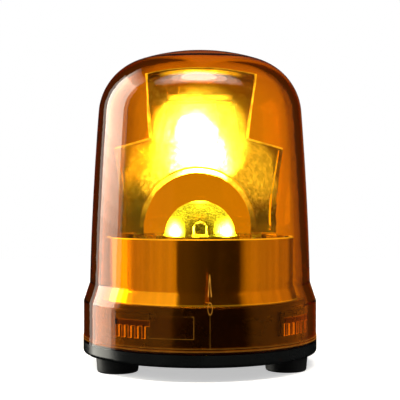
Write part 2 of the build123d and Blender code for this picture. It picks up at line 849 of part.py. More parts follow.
with BuildPart() as choke_coil:
    with BuildSketch(Plane.XY.offset(board_top)):
        with Locations((choke_x, choke_y)):
            Circle(choke_radius)
    extrude(amount=choke_flange)
    with BuildSketch(Plane.XY.offset(board_top + choke_flange)):
        with Locations((choke_x, choke_y)):
            Circle(choke_winding_radius)
    extrude(amount=choke_winding_height)
    with BuildSketch(Plane.XY.offset(board_top + choke_flange + choke_winding_height)):
        with Locations((choke_x, choke_y)):
            Circle(choke_radius)
    extrude(amount=choke_flange)
save(choke_coil.part, "choke_coil")

with BuildPart() as voltage_regulator:
    with BuildSketch(Plane.XY.offset(board_top)):
        with Locations((regulator_x, regulator_y)):
            Rectangle(regulator_width, regulator_depth)
    extrude(amount=regulator_height)
    with BuildSketch(Plane.XY.offset(board_top)):
        with Locations((regulator_x, regulator_y + (regulator_depth + regulator_tab) / 2)):
            Rectangle(regulator_width, regulator_tab)
    extrude(amount=regulator_tab_height)
save(voltage_regulator.part, "voltage_regulator")

# Two straight leads from the board up the pillar to the light source
with BuildPart() as led_leads:
    with BuildSketch(Plane.XY.offset(board_top)):
        with Locations((-lead_offset, 0), (lead_offset, 0)):
            Circle(lead_radius)
    extrude(amount=sink_floor - board_top)
save(led_leads.part, "led_leads")

# Motor can with its front boss, hung below the deck
with BuildPart() as motor_can:
    with BuildSketch(Plane.XY.offset(motor_bottom + motor_cap_length)):
        with Locations((motor_x, motor_y)):
            Circle(motor_radius)
    extrude(amount=motor_length - motor_cap_length)
    can_edge = motor_can.edges().filter_by(GeomType.CIRCLE).sort_by(Axis.Z)[-1]
    fillet(can_edge, motor_edge_fillet)
    with BuildSketch(Plane.XY.offset(deck_bottom)):
        with Locations((motor_x, motor_y)):
            Circle(motor_boss_radius)
    extrude(amount=motor_boss_height)
    with BuildSketch(Plane.XY.offset(deck_bottom + motor_boss_height)):
        with Locations((motor_x, motor_y)):
            Circle(shaft_radius + running_gap)
    extrude(amount=-(motor_boss_height + shaft_embed + shaft_end_gap), mode=Mode.SUBTRACT)
    with BuildSketch(Plane.XY.offset(deck_bottom)):
        with Locations((motor_x, motor_y)):
            with PolarLocations(motor_screw_offset, 2, start_angle=motor_line_angle + 90):
                Circle(small_screw_radius + screw_clearance)
    extrude(amount=-motor_screw_depth, mode=Mode.SUBTRACT)
save(motor_can.part, "motor_can")

with BuildPart() as motor_end_cap:
    with BuildSketch(Plane.XY.offset(motor_bottom)):
        with Locations((motor_x, motor_y)):
            Circle(motor_cap_radius)
    extrude(amount=motor_cap_length)
save(motor_end_cap.part, "motor_end_cap")

with BuildPart() as motor_terminals:
    with BuildSketch(Plane.XY.offset(board_top)):
        with Locations((motor_x, motor_y)):
            with PolarLocations(terminal_offset, 2, start_angle=motor_line_angle):
                Rectangle(terminal_thickness, terminal_width)
    extrude(amount=motor_bottom - board_top)
save(motor_terminals.part, "motor_terminals")

with BuildPart() as motor_screws:
    with BuildSketch(Plane.XY.offset(deck_bottom - motor_screw_depth + fit_gap)):
        with Locations((motor_x, motor_y)):
            with PolarLocations(motor_screw_offset, 2, start_angle=motor_line_angle + 90):
                Circle(small_screw_radius)
    extrude(amount=deck_thickness + motor_screw_depth - fit_gap)
    with BuildSketch(Plane.XY.offset(deck_top)):
        with Locations((motor_x, motor_y)):
            with PolarLocations(motor_screw_offset, 2, start_angle=motor_line_angle + 90):
                Circle(small_head_radius)
    extrude(amount=small_head_height)
save(motor_screws.part, "motor_screws")

# Motor shaft and its pinion
with BuildPart() as motor_shaft:
    with BuildSketch(Plane.XY.offset(deck_bottom - shaft_embed)):
        with Locations((motor_x, motor_y)):
            Circle(shaft_radius)
    extrude(amount=shaft_top - deck_bottom + shaft_embed)
save(motor_shaft.part, "motor_shaft")

# A tooth of each follower meets a gap of the gear before it
idler_small_turn = idler_angle + 180
motor_phase = (motor_line_angle - idler_angle) * idler_large_teeth / motor_teeth
idler_large_turn = idler_angle
wheel_turn = idler_angle + 180 / wheel_teeth
motor_turn = motor_line_angle + 180 + motor_phase + 180 / motor_teeth

with BuildPart() as motor_pinion:
    with BuildSketch(Plane((motor_x, motor_y, pinion_bottom))):
        add(gear_face(motor_teeth, motor_module, wheel_backlash, motor_turn))
        Circle(shaft_radius, mode=Mode.SUBTRACT)
    extrude(amount=pinion_face)
save(motor_pinion.part, "motor_pinion")

# Compound idler on its fixed axle
with BuildPart() as idler_gear:
    with BuildSketch(Plane((idler_x, idler_y, idler_bottom))):
        Circle(idler_boss_radius)
    extrude(amount=idler_boss_height)
    with BuildSketch(Plane((idler_x, idler_y, idler_large_bottom))):
        add(gear_face(idler_large_teeth, motor_module, wheel_backlash, idler_large_turn))
    extrude(amount=idler_large_face)
    with BuildSketch(Plane((idler_x, idler_y, idler_large_top))):
        add(gear_face(idler_small_teeth, wheel_module, wheel_backlash, idler_small_turn))
    extrude(amount=idler_top - idler_large_top)
    with BuildSketch(Plane((idler_x, idler_y, idler_bottom))):
        Circle(axle_radius + running_gap)
    extrude(amount=idler_top - idler_bottom, mode=Mode.SUBTRACT)
save(idler_gear.part, "idler_gear")

with BuildPart() as idler_axle:
    with BuildSketch(Plane((idler_x, idler_y, deck_bottom))):
        Circle(axle_radius)
    extrude(amount=axle_top - deck_bottom)
save(idler_axle.part, "idler_axle")

with BuildPart() as idler_clip:
    with BuildSketch(Plane((idler_x, idler_y, clip_bottom))):
        Circle(clip_radius)
        Circle(axle_radius, mode=Mode.SUBTRACT)
    extrude(amount=clip_thickness)
save(idler_clip.part, "idler_clip")

# Central pillar that the turntable runs on
with BuildPart() as centre_pillar:
    with BuildSketch(Plane.XY.offset(deck_top)):
        Circle(pillar_flange_radius)
    extrude(amount=pillar_flange)
    with BuildSketch(Plane.XY.offset(deck_top)):
        Circle(pillar_radius)
    extrude(amount=pillar_top - deck_top)
    with BuildSketch(Plane.XY.offset(ring_bottom)):
        Circle(pillar_radius)
        Circle(pillar_radius - clip_groove_depth, mode=Mode.SUBTRACT)
    extrude(amount=ring_thickness, mode=Mode.SUBTRACT)
    with BuildSketch(Plane.XY.offset(deck_top)):
        Circle(pillar_bore_radius)
    extrude(amount=pillar_top - deck_top, mode=Mode.SUBTRACT)
    with BuildSketch(Plane.XY.offset(deck_top)):
        with PolarLocations(pillar_screw_circle, foot_count, start_angle=first_post_angle):
            Circle(small_screw_radius + screw_clearance)
    extrude(amount=pillar_flange, mode=Mode.SUBTRACT)
    with BuildSketch(Plane.XY.offset(flange_top)):
        with PolarLocations(pillar_screw_circle, foot_count, start_angle=first_post_angle):
            Circle(small_head_radius + fit_gap)
    extrude(amount=-small_head_height, mode=Mode.SUBTRACT)
save(centre_pillar.part, "centre_pillar")

with BuildPart() as pillar_screws:
    with BuildSketch(Plane.XY.offset(deck_bottom)):
        with PolarLocations(pillar_screw_circle, foot_count, start_angle=first_post_angle):
            Circle(small_screw_radius)
    extrude(amount=flange_top - small_head_height - deck_bottom)
    with BuildSketch(Plane.XY.offset(flange_top)):
        with PolarLocations(pillar_screw_circle, foot_count, start_angle=first_post_angle):
            Circle(small_head_radius)
    extrude(amount=-small_head_height)
save(pillar_screws.part, "pillar_screws")

with BuildPart() as thrust_washer:
    with BuildSketch(Plane.XY.offset(flange_top)):
        Circle(washer_radius)
        Circle(pillar_radius + running_gap, mode=Mode.SUBTRACT)
    extrude(amount=washer_thickness)
save(thrust_washer.part, "thrust_washer")

with BuildPart() as retaining_ring:
    with BuildSketch(Plane.XY.offset(ring_bottom)):
        add(arc_band(pillar_radius - clip_groove_depth, ring_radius, ring_start, ring_sweep))
    extrude(amount=ring_thickness)
save(retaining_ring.part, "retaining_ring")

# Turntable: drive gear, hub, ribs and the table that carries the reflector
with BuildPart() as turntable:
    with BuildSketch(Plane.XY.offset(wheel_bottom)):
        add(gear_face(wheel_teeth, wheel_module, wheel_backlash, wheel_turn))
        Circle(wheel_radius - gear_ring_wall, mode=Mode.SUBTRACT)
    extrude(amount=wheel_face)
    with BuildSketch(Plane.XY.offset(wheel_bottom + (wheel_face - web_thickness) / 2)):
        Circle(wheel_radius - gear_ring_wall + wheel_overlap)
    extrude(amount=web_thickness)
    with BuildSketch(Plane.XY.offset(hub_bottom)):
        Circle(hub_radius)
    extrude(amount=table_top - hub_bottom)
    with BuildSketch(Plane.XY.offset(table_bottom)):
        Circle(table_radius)
    extrude(amount=table_thickness)
    with BuildSketch(Plane.XY.offset(table_bottom - table_rib_height)):
        with PolarLocations(0, table_rib_count):
            with Locations((hub_radius - rib_overlap, 0)):
                Rectangle(table_rib_reach - hub_radius + rib_overlap, table_rib_thickness,
                          align=(Align.MIN, Align.CENTER))
    extrude(amount=table_rib_height)
    with BuildSketch(Plane.XZ):
        with BuildLine():
            rib_foot = table_bottom - table_rib_height
            Polyline((hub_radius + table_rib_taper, rib_foot),
                     (table_rib_reach + rib_overlap, rib_foot),
                     (table_rib_reach + rib_overlap, table_bottom), close=True)
        make_face()
    revolve(axis=Axis.Z, mode=Mode.SUBTRACT)
    with BuildSketch(Plane.XY.offset(hub_bottom)):
        Circle(pillar_radius + running_gap + bush_wall)
    extrude(amount=table_top - hub_bottom, mode=Mode.SUBTRACT)
    with BuildSketch(Plane.XY.offset(hub_top)):
        Circle(table_recess_radius)
    extrude(amount=table_top - hub_top, mode=Mode.SUBTRACT)
    with BuildSketch(Plane.XY.offset(table_bottom)):
        for angle in reflector_screw_angles:
            with PolarLocations(reflector_screw_circle, 1, start_angle=angle):
                Circle(small_screw_radius + screw_clearance)
    extrude(amount=table_thickness, mode=Mode.SUBTRACT)
save(turntable.part, "turntable")

# Two plain bushes pressed into the hub
with BuildPart() as lower_bush:
    with BuildSketch(Plane.XY.offset(hub_bottom)):
        Circle(pillar_radius + running_gap + bush_wall)
        Circle(pillar_radius + running_gap, mode=Mode.SUBTRACT)
    extrude(amount=bush_length)
save(lower_bush.part, "lower_bush")

with BuildPart() as upper_bush:
    with BuildSketch(Plane.XY.offset(hub_top - bush_length)):
        Circle(pillar_radius + running_gap + bush_wall)
        Circle(pillar_radius + running_gap, mode=Mode.SUBTRACT)
    extrude(amount=bush_length)
save(upper_bush.part, "upper_bush")

# Front surface of the mirror inside its rims, cut out of the reflector's shell
with BuildPart() as mirror_cut:
    add(mirror_bowl(0))
    with BuildSketch(Plane.XZ):
        add(mirror_outline(mirror_rim_width))
        add(arch_opening(arch_rim_width), mode=Mode.SUBTRACT)
    extrude(amount=mirror_reach, both=True, mode=Mode.INTERSECT)
    revolve(globe_section(globe_wall + reflector_clearance + mirror_rim_width),
            axis=Axis.Z, mode=Mode.INTERSECT)

# Shallow bell-shaped panel sunk into the mirror, from the neck down to the arch's rim
recess_foot = focus_height + recess_foot_rise
recess_bell = neck_bottom - recess_bell_drop
with BuildPart() as neck_recess:
    add(mirror_bowl(recess_depth))
    with BuildSketch(Plane.XZ):
        with BuildLine():
            Polyline((recess_waist_half_width, neck_bottom), (recess_top_half_width, recess_top),
                     (-recess_top_half_width, recess_top), (-recess_waist_half_width, neck_bottom))
            ThreePointArc((-recess_waist_half_width, neck_bottom),
                          (-recess_bell_half_width, recess_bell),
                          (-recess_foot_half_width, recess_foot))
            Line((-recess_foot_half_width, recess_foot), (recess_foot_half_width, recess_foot))
            ThreePointArc((recess_foot_half_width, recess_foot),
                          (recess_bell_half_width, recess_bell),
                          (recess_waist_half_width, neck_bottom))
        panel = make_face()
        fillet(panel.vertices().group_by(Axis.Z)[-1], recess_corner_radius)
        add(arch_opening(arch_rim_width), mode=Mode.SUBTRACT)
    extrude(amount=mirror_reach, both=True, mode=Mode.INTERSECT)

# Upright ribs on the back of the neck
rib_foot_height = focus_height + arch_radius + arch_rim_width
with BuildPart() as rear_ribs:
    add(mirror_bowl(mirror_depth + rear_rib_height))
    add(mirror_bowl(mirror_depth / 2), mode=Mode.SUBTRACT)
    with BuildSketch(Plane.XZ):
        with Locations((0, (rib_foot_height + rear_rib_top) / 2)):
            with GridLocations(rear_rib_spacing, 1.0, 3, 1):
                Rectangle(rear_rib_thickness, rear_rib_top - rib_foot_height)
    extrude(amount=mirror_reach, both=True, mode=Mode.INTERSECT)

# Reflector: a slice of a parabolic bowl on a plinth and a screwed flange
with BuildPart() as reflector:
    add(mirror_bowl(mirror_depth))
    add(mirror_bowl(-mirror_rim_rise), mode=Mode.SUBTRACT)
    with BuildSketch(Plane.XZ):
        add(mirror_outline(0))
        add(arch_opening(0), mode=Mode.SUBTRACT)
    extrude(amount=mirror_reach, both=True, mode=Mode.INTERSECT)
    add(rear_ribs.part)
    with BuildSketch(Plane.XY.offset(mirror_flange_top)):
        with BuildLine():
            front_curve = Bezier(
                (arch_radius, parabola_height(arch_radius)),
                ((arch_radius + plinth_radius) / 2,
                 focus_length - arch_radius * plinth_radius / (4 * focus_length)),
                (plinth_radius, parabola_height(plinth_radius)))
            back_curve = Bezier(
                (arch_radius, parabola_height(arch_radius) + mirror_depth),
                ((arch_radius + plinth_radius) / 2,
                 focus_length - arch_radius * plinth_radius / (4 * focus_length) + mirror_depth),
                (plinth_radius, parabola_height(plinth_radius) + mirror_depth))
            Line(front_curve @ 0, back_curve @ 0)
            Line(front_curve @ 1, back_curve @ 1)
        make_face()
        mirror(about=Plane.YZ)
        Circle(plinth_radius, mode=Mode.INTERSECT)
    extrude(amount=wing_bottom + plinth_overlap - mirror_flange_top)
    with BuildSketch(Plane.XY.offset(table_top)):
        Circle(flange_outer_radius)
        Circle(flange_inner_radius, mode=Mode.SUBTRACT)
        with Locations((0, flange_front)):
            Rectangle(2 * base_radius, base_radius, align=(Align.CENTER, Align.MIN),
                      mode=Mode.INTERSECT)
        for angle in reflector_screw_angles:
            with PolarLocations(reflector_screw_circle, 1, start_angle=angle):
                Circle(small_screw_radius + screw_clearance, mode=Mode.SUBTRACT)
    extrude(amount=flange_thickness)
    revolve(globe_section(globe_wall + reflector_clearance), axis=Axis.Z, mode=Mode.INTERSECT)
    add(mirror_cut.part, mode=Mode.SUBTRACT)
    add(neck_recess.part, mode=Mode.SUBTRACT)
save(reflector.part, "reflector")

with BuildPart() as reflector_screws:
    with BuildSketch(Plane.XY.offset(table_bottom)):
        for angle in reflector_screw_angles:
            with PolarLocations(reflector_screw_circle, 1, start_angle=angle):
                Circle(small_screw_radius)
    extrude(amount=table_thickness + flange_thickness)
    with BuildSketch(Plane.XY.offset(mirror_flange_top)):
        for angle in reflector_screw_angles:
            with PolarLocations(reflector_screw_circle, 1, start_angle=angle):
                Circle(small_head_radius)
    extrude(amount=small_head_height)
save(reflector_screws.part, "reflector_screws")

# Heat sink puck on the pillar, with a recess for the light source's board
with BuildPart() as heat_sink:
    with BuildSketch(Plane.XY.offset(pillar_top)):
        Circle(sink_radius)
    extrude(amount=sink_height)
    with BuildSketch(Plane.XY.offset(pillar_top - sink_stem_length)):
        Circle(pillar_bore_radius)
    extrude(amount=sink_stem_length)
    with BuildSketch(Plane.XY.offset(sink_floor)):
        Circle(led_board_radius + fit_gap)
    extrude(amount=sink_recess, mode=Mode.SUBTRACT)
    with BuildSketch(Plane.XY.offset(pillar_top - sink_stem_length)):
        Circle(sink_stem_bore)
    extrude(amount=sink_stem_length + sink_height, mode=Mode.SUBTRACT)
save(heat_sink.part, "heat_sink")

with BuildPart() as led_board:
    with BuildSketch(Plane.XY.offset(sink_floor)):
        Circle(led_board_radius)
    extrude(amount=led_board_thickness)
save(led_board.part, "led_board")

with BuildPart() as led_emitter:
    with BuildSketch(Plane.XY.offset(led_board_top)):
        Circle(emitter_radius)
    extrude(amount=emitter_height)
save(led_emitter.part, "led_emitter")

with BuildPart() as emitter_lens:
    with BuildSketch(Plane.XZ):
        with BuildLine():
            lens_shoulder = emitter_top + emitter_lens_height - emitter_lens_radius
            Polyline((0, emitter_top + emitter_lens_height), (0, emitter_top),
                     (emitter_lens_radius, emitter_top), (emitter_lens_radius, lens_shoulder))
            CenterArc((0, lens_shoulder), emitter_lens_radius, 0, 90)
        make_face()
    revolve(axis=Axis.Z)
save(emitter_lens.part, "emitter_lens")

# Clear dome over the light source
with BuildPart() as lens_dome:
    with BuildSketch(Plane.XZ):
        with BuildLine():
            CenterArc((0, sink_top), dome_radius, 0, 90)
            CenterArc((0, sink_top), dome_radius - dome_wall, 0, 90)
            Line((dome_radius, sink_top), (dome_radius - dome_wall, sink_top))
            Line((0, sink_top + dome_radius), (0, sink_top + dome_radius - dome_wall))
        make_face()
    revolve(axis=Axis.Z)
    with BuildSketch(Plane.XY.offset(sink_top)):
        Circle(dome_foot_radius)
        Circle(dome_radius - dome_wall, mode=Mode.SUBTRACT)
    extrude(amount=dome_foot_height)
save(lens_dome.part, "lens_dome")
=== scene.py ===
import math

import bmesh
import bpy
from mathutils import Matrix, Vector


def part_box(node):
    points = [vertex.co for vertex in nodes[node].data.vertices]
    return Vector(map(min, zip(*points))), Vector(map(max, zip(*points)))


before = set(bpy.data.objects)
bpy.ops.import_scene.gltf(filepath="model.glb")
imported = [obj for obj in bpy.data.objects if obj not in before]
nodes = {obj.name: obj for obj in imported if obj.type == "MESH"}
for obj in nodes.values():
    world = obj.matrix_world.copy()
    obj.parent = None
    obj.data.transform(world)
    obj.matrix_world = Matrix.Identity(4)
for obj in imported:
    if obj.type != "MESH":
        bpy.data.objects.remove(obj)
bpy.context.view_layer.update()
scene = bpy.context.scene

# Lengths are in metres and angles in degrees. Places that the nodes' boxes give
dome_low, dome_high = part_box("lens_dome")
DOME_FOOT, DOME_TOP = dome_low[2], dome_high[2]
DOME_RADIUS = DOME_TOP - DOME_FOOT
LENS_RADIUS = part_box("emitter_lens")[1][0]
DECK_TOP, DRUM_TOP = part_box("chassis")[1][2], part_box("drum_shroud")[1][2]
MIRROR_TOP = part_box("reflector")[1][2]

# Mirror's outline and sunk panel, repeated from the CAD source
FOCUS_HEIGHT, ARCH_RADIUS = 0.0577, 0.0248
RIM_WIDTH, ARCH_RIM_WIDTH = 0.0013, 0.0019
NECK_HEIGHT, NECK_RISE = 0.0263, 0.0035
NECK_HALF_WIDTH, NECK_TOP_HALF_WIDTH = 0.0224, 0.0234
WING_HALF_WIDTH, WING_DROP = 0.0410, 0.0054
RECESS_DROP, RECESS_TOP_HALF, RECESS_WAIST_HALF = 0.0111, 0.0142, 0.0180

# What follows from them
NECK_TOP = MIRROR_TOP - NECK_RISE
NECK_BOTTOM = NECK_TOP - NECK_HEIGHT
NECK_SLOPE = (NECK_TOP_HALF_WIDTH - NECK_HALF_WIDTH) / NECK_HEIGHT
SHOULDER_SLOPE = WING_DROP / (WING_HALF_WIDTH - NECK_HALF_WIDTH)
RECESS_TOP = NECK_TOP - RECESS_DROP
RECESS_SLOPE = (RECESS_WAIST_HALF - RECESS_TOP_HALF) / (RECESS_TOP - NECK_BOTTOM)
TOP_ARC_RADIUS = (NECK_TOP_HALF_WIDTH**2 + NECK_RISE**2) / (2 * NECK_RISE)
TOP_ARC_HEIGHT = MIRROR_TOP - TOP_ARC_RADIUS

# Marks on the globe's skirt, its lip and the bayonet combs inside it, from the CAD source
PANEL_X, PANEL_Z, PANEL_HALF, PANEL_HALF_HEIGHT = -0.0134, 0.0212, 0.00875, 0.0043
INDEX_X, INDEX_BOTTOM, INDEX_TOP = 0.0016, 0.0134, 0.0260
LOOP_HEIGHT, TIP_BASE, TIP_TOP = 0.0052, 0.0330, 0.0415
LIP_GROOVE, LIP_TOP = 0.01205, 0.0131
COMB_INNER, COMB_BOTTOM, COMB_BAR, COMB_TOP = 0.0454, 0.0161, 0.0209, 0.0233
COMB_ANGLE, COMB_SPACING, COMB_SWEEP = -127.5, 90.0, 20.0
TOOTH_PITCH, TOOTH_SWEEP = 4.0, 1.8

# Most values of a noise texture lie between these
NOISE_LOW, NOISE_HIGH = 0.35, 0.65


class Tree:
    """Short calls for building a node tree. A value is a node's output or a plain number."""

    def __init__(self, tree):
        self.tree = tree

    def add(self, kind, **settings):
        node = self.tree.nodes.new(kind)
        for key, value in settings.items():
            setattr(node, key, value)
        return node

    def link(self, source, target):
        self.tree.links.new(source, target)

    def coords(self, scale=(1, 1, 1)):
        """Object coordinates, which are the CAD frame's own, stretched by a scale."""
        place = self.add("ShaderNodeTexCoord")
        mapping = self.add("ShaderNodeMapping")
        mapping.inputs["Scale"].default_value = scale
        self.link(place.outputs["Object"], mapping.inputs["Vector"])
        return mapping.outputs["Vector"]

    def axes(self):
        """The coordinates one by one, under the names X, Y and Z."""
        split = self.add("ShaderNodeSeparateXYZ")
        self.link(self.coords(), split.inputs[0])
        return split.outputs

    def noise(self, scale, detail, stretch=(1, 1, 1)):
        node = self.add("ShaderNodeTexNoise")
        node.inputs["Scale"].default_value = scale
        node.inputs["Detail"].default_value = detail
        self.link(self.coords(stretch), node.inputs["Vector"])
        return node.outputs["Fac"]

    def ramp(self, source, stops):
        node = self.add("ShaderNodeValToRGB")
        elements = node.color_ramp.elements
        while len(elements) < len(stops):
            elements.new(0.5)
        for element, (position, colour) in zip(elements, stops):
            element.position = position
            element.color = colour
        self.link(source, node.inputs["Fac"])
        return node.outputs["Color"]

    def spread(self, source, low, high, start=NOISE_LOW, end=NOISE_HIGH):
        """Goes from low to high as the source goes from start to end, and stays there beyond."""
        node = self.add("ShaderNodeMapRange")
        node.inputs["From Min"].default_value = start
        node.inputs["From Max"].default_value = end
        node.inputs["To Min"].default_value = low
        node.inputs["To Max"].default_value = high
        self.link(source, node.inputs["Value"])
        return node.outputs["Result"]

    def math(self, operation, first, second=None):
        node = self.add("ShaderNodeMath", operation=operation)
        for socket, value in zip(node.inputs, (first, second)):
            if isinstance(value, (int, float)):
                socket.default_value = value
            elif value is not None:
                self.link(value, socket)
        return node.outputs[0]

    def minus(self, first, second):
        return self.math("SUBTRACT", first, second)

    def product(self, first, *others):
        result = first
        for value in others:
            result = self.math("MULTIPLY", result, value)
        return result

    def total(self, first, *others):
        result = first
        for value in others:
            result = self.math("ADD", result, value)
        return result

    def size(self, value):
        return self.math("ABSOLUTE", value)

    def hypot(self, first, second):
        squares = self.total(self.product(first, first), self.product(second, second))
        return self.math("SQRT", squares)

    def below(self, value, limit):
        """1 where a value is less than a limit, else 0."""
        return self.math("LESS_THAN", value, limit)

    def above(self, value, limit):
        return self.math("GREATER_THAN", value, limit)

    def between(self, value, low, high):
        return self.product(self.above(value, low), self.below(value, high))

    def near(self, value, target, reach):
        """1 where a value is within reach of a target, else 0."""
        return self.below(self.size(self.minus(value, target)), reach)

    def peak(self, value, centre, reach):
        """Falls from 1 at the centre to 0 at reach."""
        return self.spread(self.size(self.minus(value, centre)), 1.0, 0.0, 0.0, reach)

    def bump(self, height, distance):
        node = self.add("ShaderNodeBump")
        node.inputs["Distance"].default_value = distance
        self.link(height, node.inputs["Height"])
        return node.outputs["Normal"]

    def principled(self, **values):
        node = self.add("ShaderNodeBsdfPrincipled")
        for key, value in values.items():
            socket = key.replace("_", " ").title().replace("Ior", "IOR")
            node.inputs[socket].default_value = value
        return node

    def mix(self, share, first, second):
        """Blend of two shaders: the first where the share is 0, the second where it is 1."""
        node = self.add("ShaderNodeMixShader")
        for socket, source in zip(node.inputs, (share, first, second)):
            self.link(source, socket)
        return node.outputs[0]

    def output(self, shader, volume=None):
        out = self.add("ShaderNodeOutputMaterial")
        self.link(shader, out.inputs["Surface"])
        if volume is not None:
            self.link(volume, out.inputs["Volume"])


def new_material(name):
    """An empty node material, and the calls that add nodes to it."""
    mat = bpy.data.materials.new(name)
    mat.use_nodes = True
    mat.node_tree.nodes.clear()
    return mat, Tree(mat.node_tree)


def rgba(colour):
    return (*colour, 1.0)


def grey(level):
    return (level, level, level, 1.0)


def shade(colour, factor):
    return tuple(min(1.0, channel * factor) for channel in colour)


def see_through(t, shader, tint):
    """Lets lamp light pass a clear piece, which a refracting surface would stop."""
    path = t.add("ShaderNodeLightPath")
    clear = t.add("ShaderNodeBsdfTransparent")
    clear.inputs["Color"].default_value = rgba(tint)
    return t.mix(path.outputs["Is Shadow Ray"], shader.outputs[0], clear.outputs[0])


# How far colour and roughness vary over a piece, up and down
COLOUR_VARIATION, ROUGHNESS_VARIATION = 0.12, 0.08
COAT_ROUGHNESS = 0.08


def solid_material(name, colour, roughness, metallic=0.0, grain=900.0, depth=0.00002,
                   stretch=(1, 1, 1), coat=0.0):
    """Plastic, rubber or metal of varying colour and roughness, with its grain in the bump."""
    mat, t = new_material(name)
    shader = t.principled(metallic=metallic, coat_weight=coat, coat_roughness=COAT_ROUGHNESS)
    broad = t.noise(60.0, 4.0, stretch)
    colours = t.ramp(broad, ((0.3, rgba(shade(colour, 1 - COLOUR_VARIATION))),
                             (0.7, rgba(shade(colour, 1 + COLOUR_VARIATION)))))
    t.link(colours, shader.inputs["Base Color"])
    t.link(t.spread(broad, roughness - ROUGHNESS_VARIATION, roughness + ROUGHNESS_VARIATION),
           shader.inputs["Roughness"])
    t.link(t.bump(t.noise(grain, 2.0, stretch), depth), shader.inputs["Normal"])
    t.output(shader.outputs[0])
    return mat


# Painted highlight lines on the globe: half widths, and brightness as emission strength
PANEL_LINE, INDEX_LINE, TIP_LINE, COMB_LINE = 0.00016, 0.00018, 0.0002, 0.0002
GROOVE_LINE, LIP_LINE = 0.00022, 0.0001
PANEL_GLOW, INDEX_GLOW, LOOP_GLOW, TIP_GLOW = 0.11, 0.06, 0.32, 0.4
COMB_GLOW, LIP_GLOW = 0.4, 0.12
# The panel's lit lower and right edges begin at these shares of its half sizes
LIT_BELOW, LIT_BESIDE, UNLIT_SHARE = 0.8, 0.9, 0.25
# Half widths of the index's loop and tip, which are drawn narrower than in the CAD, and where
# the loop's line lies and its half width as shares of the loop
LOOP_HALF, TIP_HALF = 0.0010, 0.0006
LOOP_MIDDLE, LOOP_LINE = 0.86, 0.11
# Painted highlight lines at the sides of a comb's teeth and at its end, in degrees, and how far
# they stand over it
FLANK_INSET, FLANK_LINE, END_LINE = 0.15, 0.22, 0.3
COMB_MARGIN = 0.0003
# The globe's outer face lies beyond this radius, its inner face within
OUTER_FACE = 0.0468


def panel_edge_highlights(t, x, z):
    """Painted highlight along the outline of the bare panel on the skirt."""
    beside = t.minus(t.size(t.minus(x, PANEL_X)), PANEL_HALF)
    over = t.minus(t.size(t.minus(z, PANEL_Z)), PANEL_HALF_HEIGHT)
    outline = t.near(t.math("MAXIMUM", beside, over), 0.0, PANEL_LINE)
    lit = t.math("MAXIMUM", t.below(z, PANEL_Z - LIT_BELOW * PANEL_HALF_HEIGHT),
                 t.above(x, PANEL_X + LIT_BESIDE * PANEL_HALF))
    return t.product(outline, t.spread(lit, UNLIT_SHARE, 1.0, 0.0, 1.0), PANEL_GLOW)


def index_mark_highlights(t, x, z):
    """Painted highlights on the index mark: an upright line with a loop on it, and a pointed tip
    above.
    """
    aside = t.size(t.minus(x, INDEX_X))
    line = t.product(t.below(aside, INDEX_LINE), t.between(z, INDEX_BOTTOM, INDEX_TOP))
    loop_half_height = LOOP_HEIGHT / 2
    from_centre = t.minus(z, INDEX_TOP + loop_half_height)
    reach = t.hypot(t.math("DIVIDE", aside, LOOP_HALF),
                    t.math("DIVIDE", from_centre, loop_half_height))
    loop = t.near(reach, LOOP_MIDDLE, LOOP_LINE)
    tip_side = t.product(t.minus(TIP_TOP, z), TIP_HALF / (TIP_TOP - TIP_BASE))
    tip = t.product(t.near(aside, tip_side, TIP_LINE), t.between(z, TIP_BASE, TIP_TOP))
    return t.total(t.product(line, INDEX_GLOW), t.product(loop, LOOP_GLOW),
                   t.product(tip, TIP_GLOW))


def comb_edge_highlights(t, x, y, z, radius):
    """Painted highlights along the outlines of the bayonet combs, seen through the skirt."""
    angle = t.math("DEGREES", t.math("ARCTAN2", y, x))
    turned = t.math("FLOORED_MODULO", t.minus(angle, COMB_ANGLE - COMB_SWEEP / 2), COMB_SPACING)
    in_pitch = t.math("FLOORED_MODULO", turned, TOOTH_PITCH)
    on_tooth = t.below(in_pitch, TOOTH_SWEEP)
    flanks = t.math("MAXIMUM", t.near(in_pitch, FLANK_INSET, FLANK_LINE),
                    t.near(in_pitch, TOOTH_SWEEP - FLANK_INSET, FLANK_LINE))
    edges = t.total(
        t.product(flanks, t.between(z, COMB_BOTTOM, COMB_BAR)),
        t.product(t.near(z, COMB_BAR, COMB_LINE), t.minus(1.0, on_tooth)),
        t.product(t.near(z, COMB_BOTTOM, COMB_LINE), on_tooth),
        t.near(z, COMB_TOP, COMB_LINE),
        t.product(t.near(turned, COMB_SWEEP, END_LINE), t.between(z, COMB_BAR, COMB_TOP)))
    on_comb = t.product(t.below(turned, COMB_SWEEP), t.below(radius, COMB_INNER + COMB_LINE),
                        t.between(z, COMB_BOTTOM - COMB_MARGIN, COMB_TOP + COMB_MARGIN))
    return t.product(edges, on_comb, COMB_GLOW)


